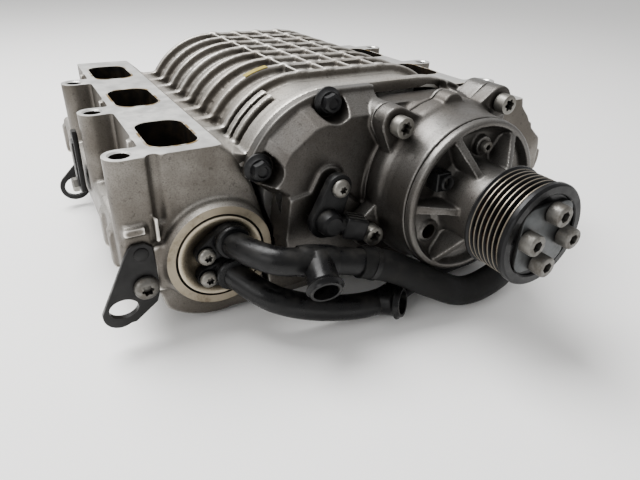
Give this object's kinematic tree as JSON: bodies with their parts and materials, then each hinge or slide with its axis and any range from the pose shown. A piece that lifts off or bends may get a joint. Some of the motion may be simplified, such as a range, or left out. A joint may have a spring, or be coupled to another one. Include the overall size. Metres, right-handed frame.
{
  "type": "roots supercharger",
  "caption": "Roots supercharger module with intercooler banks, ribbed rotor case, clutch drive, belt pulley, coolant pipes and rear bypass inlet.",
  "frame": {"origin": "on the base cover's outer face, halfway between the rotors and halfway along the banks", "axes": "+Z out of the intake flanges, -Y towards the drive pulley, +X to the drive rotor's side"},
  "size_m": [0.3706, 0.4205, 0.1507],
  "materials": {
    "cast_housing": "sand-cast aluminium, weathered",
    "gear_case": "die-cast aluminium, darkened with use",
    "cooler_cap": "chromate-treated cast aluminium",
    "zinc_screws": "zinc-plated steel",
    "black_screws": "black phosphated steel",
    "black_bracket": "black e-coated steel",
    "nylon": "glass-filled nylon, moulded",
    "rubber_seal": "moulded rubber",
    "cooler_core": "brazed finned aluminium",
    "coil": "enamelled copper winding",
    "rotor_coating": "abradable graphite coating",
    "bearing_steel": "ground steel",
    "brass": "machined brass",
    "rusty_bolt": "rusted steel",
    "pulley_steel": "black-coated steel, worn bright on the crests"
  },
  "bodies": {
    "housing": {"base_cover": "cast_housing", "bearing_plate": "gear_case", "bracket_bolt_front": "zinc_screws", "bracket_bolt_rear": "zinc_screws", "bypass_actuator": "nylon", "cap_seal_left": "rubber_seal", "cap_seal_right": "rubber_seal", "clutch_coil": "coil", "clutch_connector": "nylon", "coolant_pipe_lower": "nylon", "coolant_pipe_upper": "nylon", "cooler_cap_left": "cooler_cap", "cooler_cap_right": "cooler_cap", "cooler_core_left": "cooler_core", "cooler_core_right": "cooler_core", "cover_bolt_1": "black_screws", "cover_bolt_2": "black_screws", "cover_bolt_3": "black_screws", "cover_bolt_4": "black_screws", "drive_housing": "gear_case", "drive_nose": "gear_case", "drive_screw_1": "zinc_screws", "drive_screw_2": "zinc_screws", "drive_screw_3": "zinc_screws", "front_bearing_drive": "bearing_steel", "front_bearing_driven": "bearing_steel", "gear_cover": "gear_case", "harness_strap": "nylon", "housing_bolt": "rusty_bolt", "lifting_bracket_front": "black_bracket", "lifting_bracket_rear": "black_bracket", "main_housing": "cast_housing", "nose_bearing": "bearing_steel", "nose_seal": "rubber_seal", "pipe_screw_lower_left": "zinc_screws", "pipe_screw_lower_right": "zinc_screws", "pipe_screw_upper_left": "zinc_screws", "pipe_screw_upper_right": "zinc_screws", "pressure_sensor": "nylon", "rear_bearing_drive": "bearing_steel", "rear_bearing_driven": "bearing_steel", "rear_inlet_housing": "gear_case", "sensor_screw": "zinc_screws", "strap_bolt": "zinc_screws"},
    "drive_rotor": {"drive_rotor": "rotor_coating", "drive_timing_gear": "bearing_steel", "clutch_hub": "bearing_steel"},
    "driven_rotor": {"driven_rotor": "rotor_coating", "driven_timing_gear": "bearing_steel"},
    "pulley": {"pulley": "pulley_steel", "pulley_shaft": "bearing_steel", "clutch_armature": "bearing_steel", "pulley_screw_1": "zinc_screws", "pulley_screw_2": "zinc_screws", "pulley_screw_3": "zinc_screws", "pulley_screw_4": "zinc_screws"},
    "bypass_valve": {"bypass_flap": "brass", "bypass_shaft": "bearing_steel", "bypass_lever": "bearing_steel"}
  },
  "joints": [
    {"name": "drive_rotor_spin", "type": "hinge", "parent": "housing", "child": "drive_rotor", "pos_m": [0.036, 0, 0.084], "axis": [0, 1, 0], "continuous": true},
    {"name": "driven_rotor_spin", "type": "hinge", "parent": "housing", "child": "driven_rotor", "pos_m": [-0.036, 0, 0.084], "axis": [0, 1, 0], "continuous": true},
    {"name": "pulley_spin", "type": "hinge", "parent": "housing", "child": "pulley", "pos_m": [0.036, 0, 0.084], "axis": [0, 1, 0], "continuous": true},
    {"name": "bypass_turn", "type": "hinge", "parent": "housing", "child": "bypass_valve", "pos_m": [0, 0.1239, 0.044], "axis": [1, 0, 0], "range_deg": [0, 85]}
  ],
  "couplings": [
    {"joint": "driven_rotor_spin", "follows": "drive_rotor_spin", "ratio": -1},
    {"joint": "pulley_spin", "follows": "drive_rotor_spin", "ratio": 1}
  ]
}
